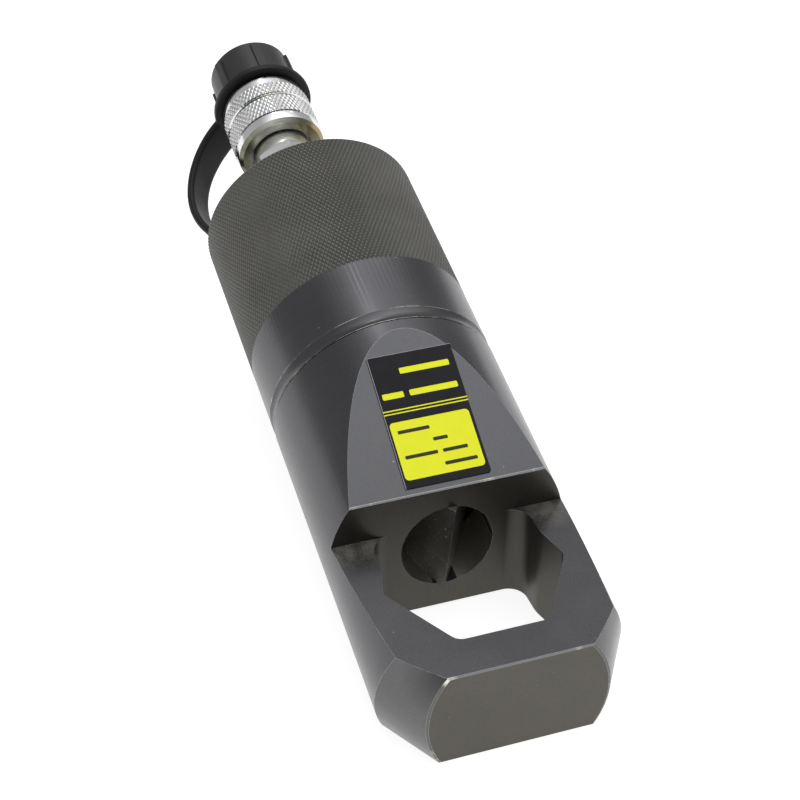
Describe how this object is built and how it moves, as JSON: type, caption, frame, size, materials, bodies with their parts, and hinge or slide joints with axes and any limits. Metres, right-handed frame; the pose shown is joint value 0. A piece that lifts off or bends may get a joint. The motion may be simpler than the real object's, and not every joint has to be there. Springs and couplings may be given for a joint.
{
  "type": "hydraulic nut splitter",
  "caption": "Hand-held hydraulic nut splitter with an angled head, a round ram-driven chisel, a hexagonal nut space and a rear hose coupler with dust cap.",
  "frame": {"origin": "on the axis of the nut, in the plane of the head's flat base", "axes": "+Z along the nut's axis, up from the base; +X from the chisel to the anvil, so the barrel and the coupler lie towards -X and rise 12 degrees; +Y completes the frame"},
  "size_m": [0.2494, 0.064, 0.078],
  "materials": {
    "black_knurled": "satin",
    "black_ground": "satin",
    "nitrile": "matte",
    "plain_steel": "satin",
    "spring_steel": "satin",
    "zinc_body": "satin",
    "zinc_knurled": "satin",
    "label": "gloss",
    "polyurethane": "satin",
    "ptfe": "matte",
    "bronze_filled": "matte",
    "tool_steel": "satin",
    "black_screw": "satin",
    "poppet_steel": "polished",
    "strap_rubber": "satin",
    "cap_plastic": "satin"
  },
  "bodies": {
    "tool": {"barrel": "black_knurled", "cutter_head": "black_ground", "head_ring": "nitrile", "chisel_wiper": "nitrile", "stop_sleeve": "plain_steel", "spring_seat": "plain_steel", "return_spring": "spring_steel", "coupler_body": "zinc_body", "snap_ring": "spring_steel", "nose_ring": "nitrile", "valve_seat": "plain_steel", "valve_spring": "spring_steel", "label_plate": "label"},
    "ram": {"piston": "plain_steel", "piston_seal": "polyurethane", "backup_ring": "ptfe", "guide_ring": "bronze_filled", "chisel": "tool_steel", "chisel_screw": "black_screw"},
    "collar": {"coupler_collar": "zinc_knurled"},
    "valve": {"valve_poppet": "poppet_steel"},
    "strap_end": {"cap_strap": "strap_rubber"},
    "cap": {"dust_cap": "cap_plastic"}
  },
  "joints": [
    {"name": "ram_slide", "type": "slide", "parent": "tool", "child": "ram", "axis": [0.9781, 0, -0.2079], "range_m": [0, 0.028], "stiffness_N_per_m": 3400, "springref_m": -0.02, "deforming": ["return_spring"]},
    {"name": "collar_spin", "type": "hinge", "parent": "tool", "child": "collar", "pos_m": [-0.18501, 0, 0.05564], "axis": [0.9781, 0, -0.2079], "continuous": true},
    {"name": "valve_lift", "type": "slide", "parent": "tool", "child": "valve", "axis": [0.9781, 0, -0.2079], "range_m": [0, 0.0015], "stiffness_N_per_m": 200, "springref_m": -0.003, "deforming": ["valve_spring"]},
    {"name": "cap_lift", "type": "slide", "parent": "tool", "child": "strap_end", "axis": [-0.9781, 0, 0.2079], "range_m": [0, 0.008], "deforming": ["cap_strap"]},
    {"name": "cap_turn", "type": "hinge", "parent": "strap_end", "child": "cap", "pos_m": [-0.20262, 0, 0.05938], "axis": [-0.9781, 0, 0.2079], "range_deg": [0, 1440]}
  ],
  "couplings": [
    {"joint": "cap_turn", "follows": "cap_lift", "rad_per_m": 3141.6}
  ]
}
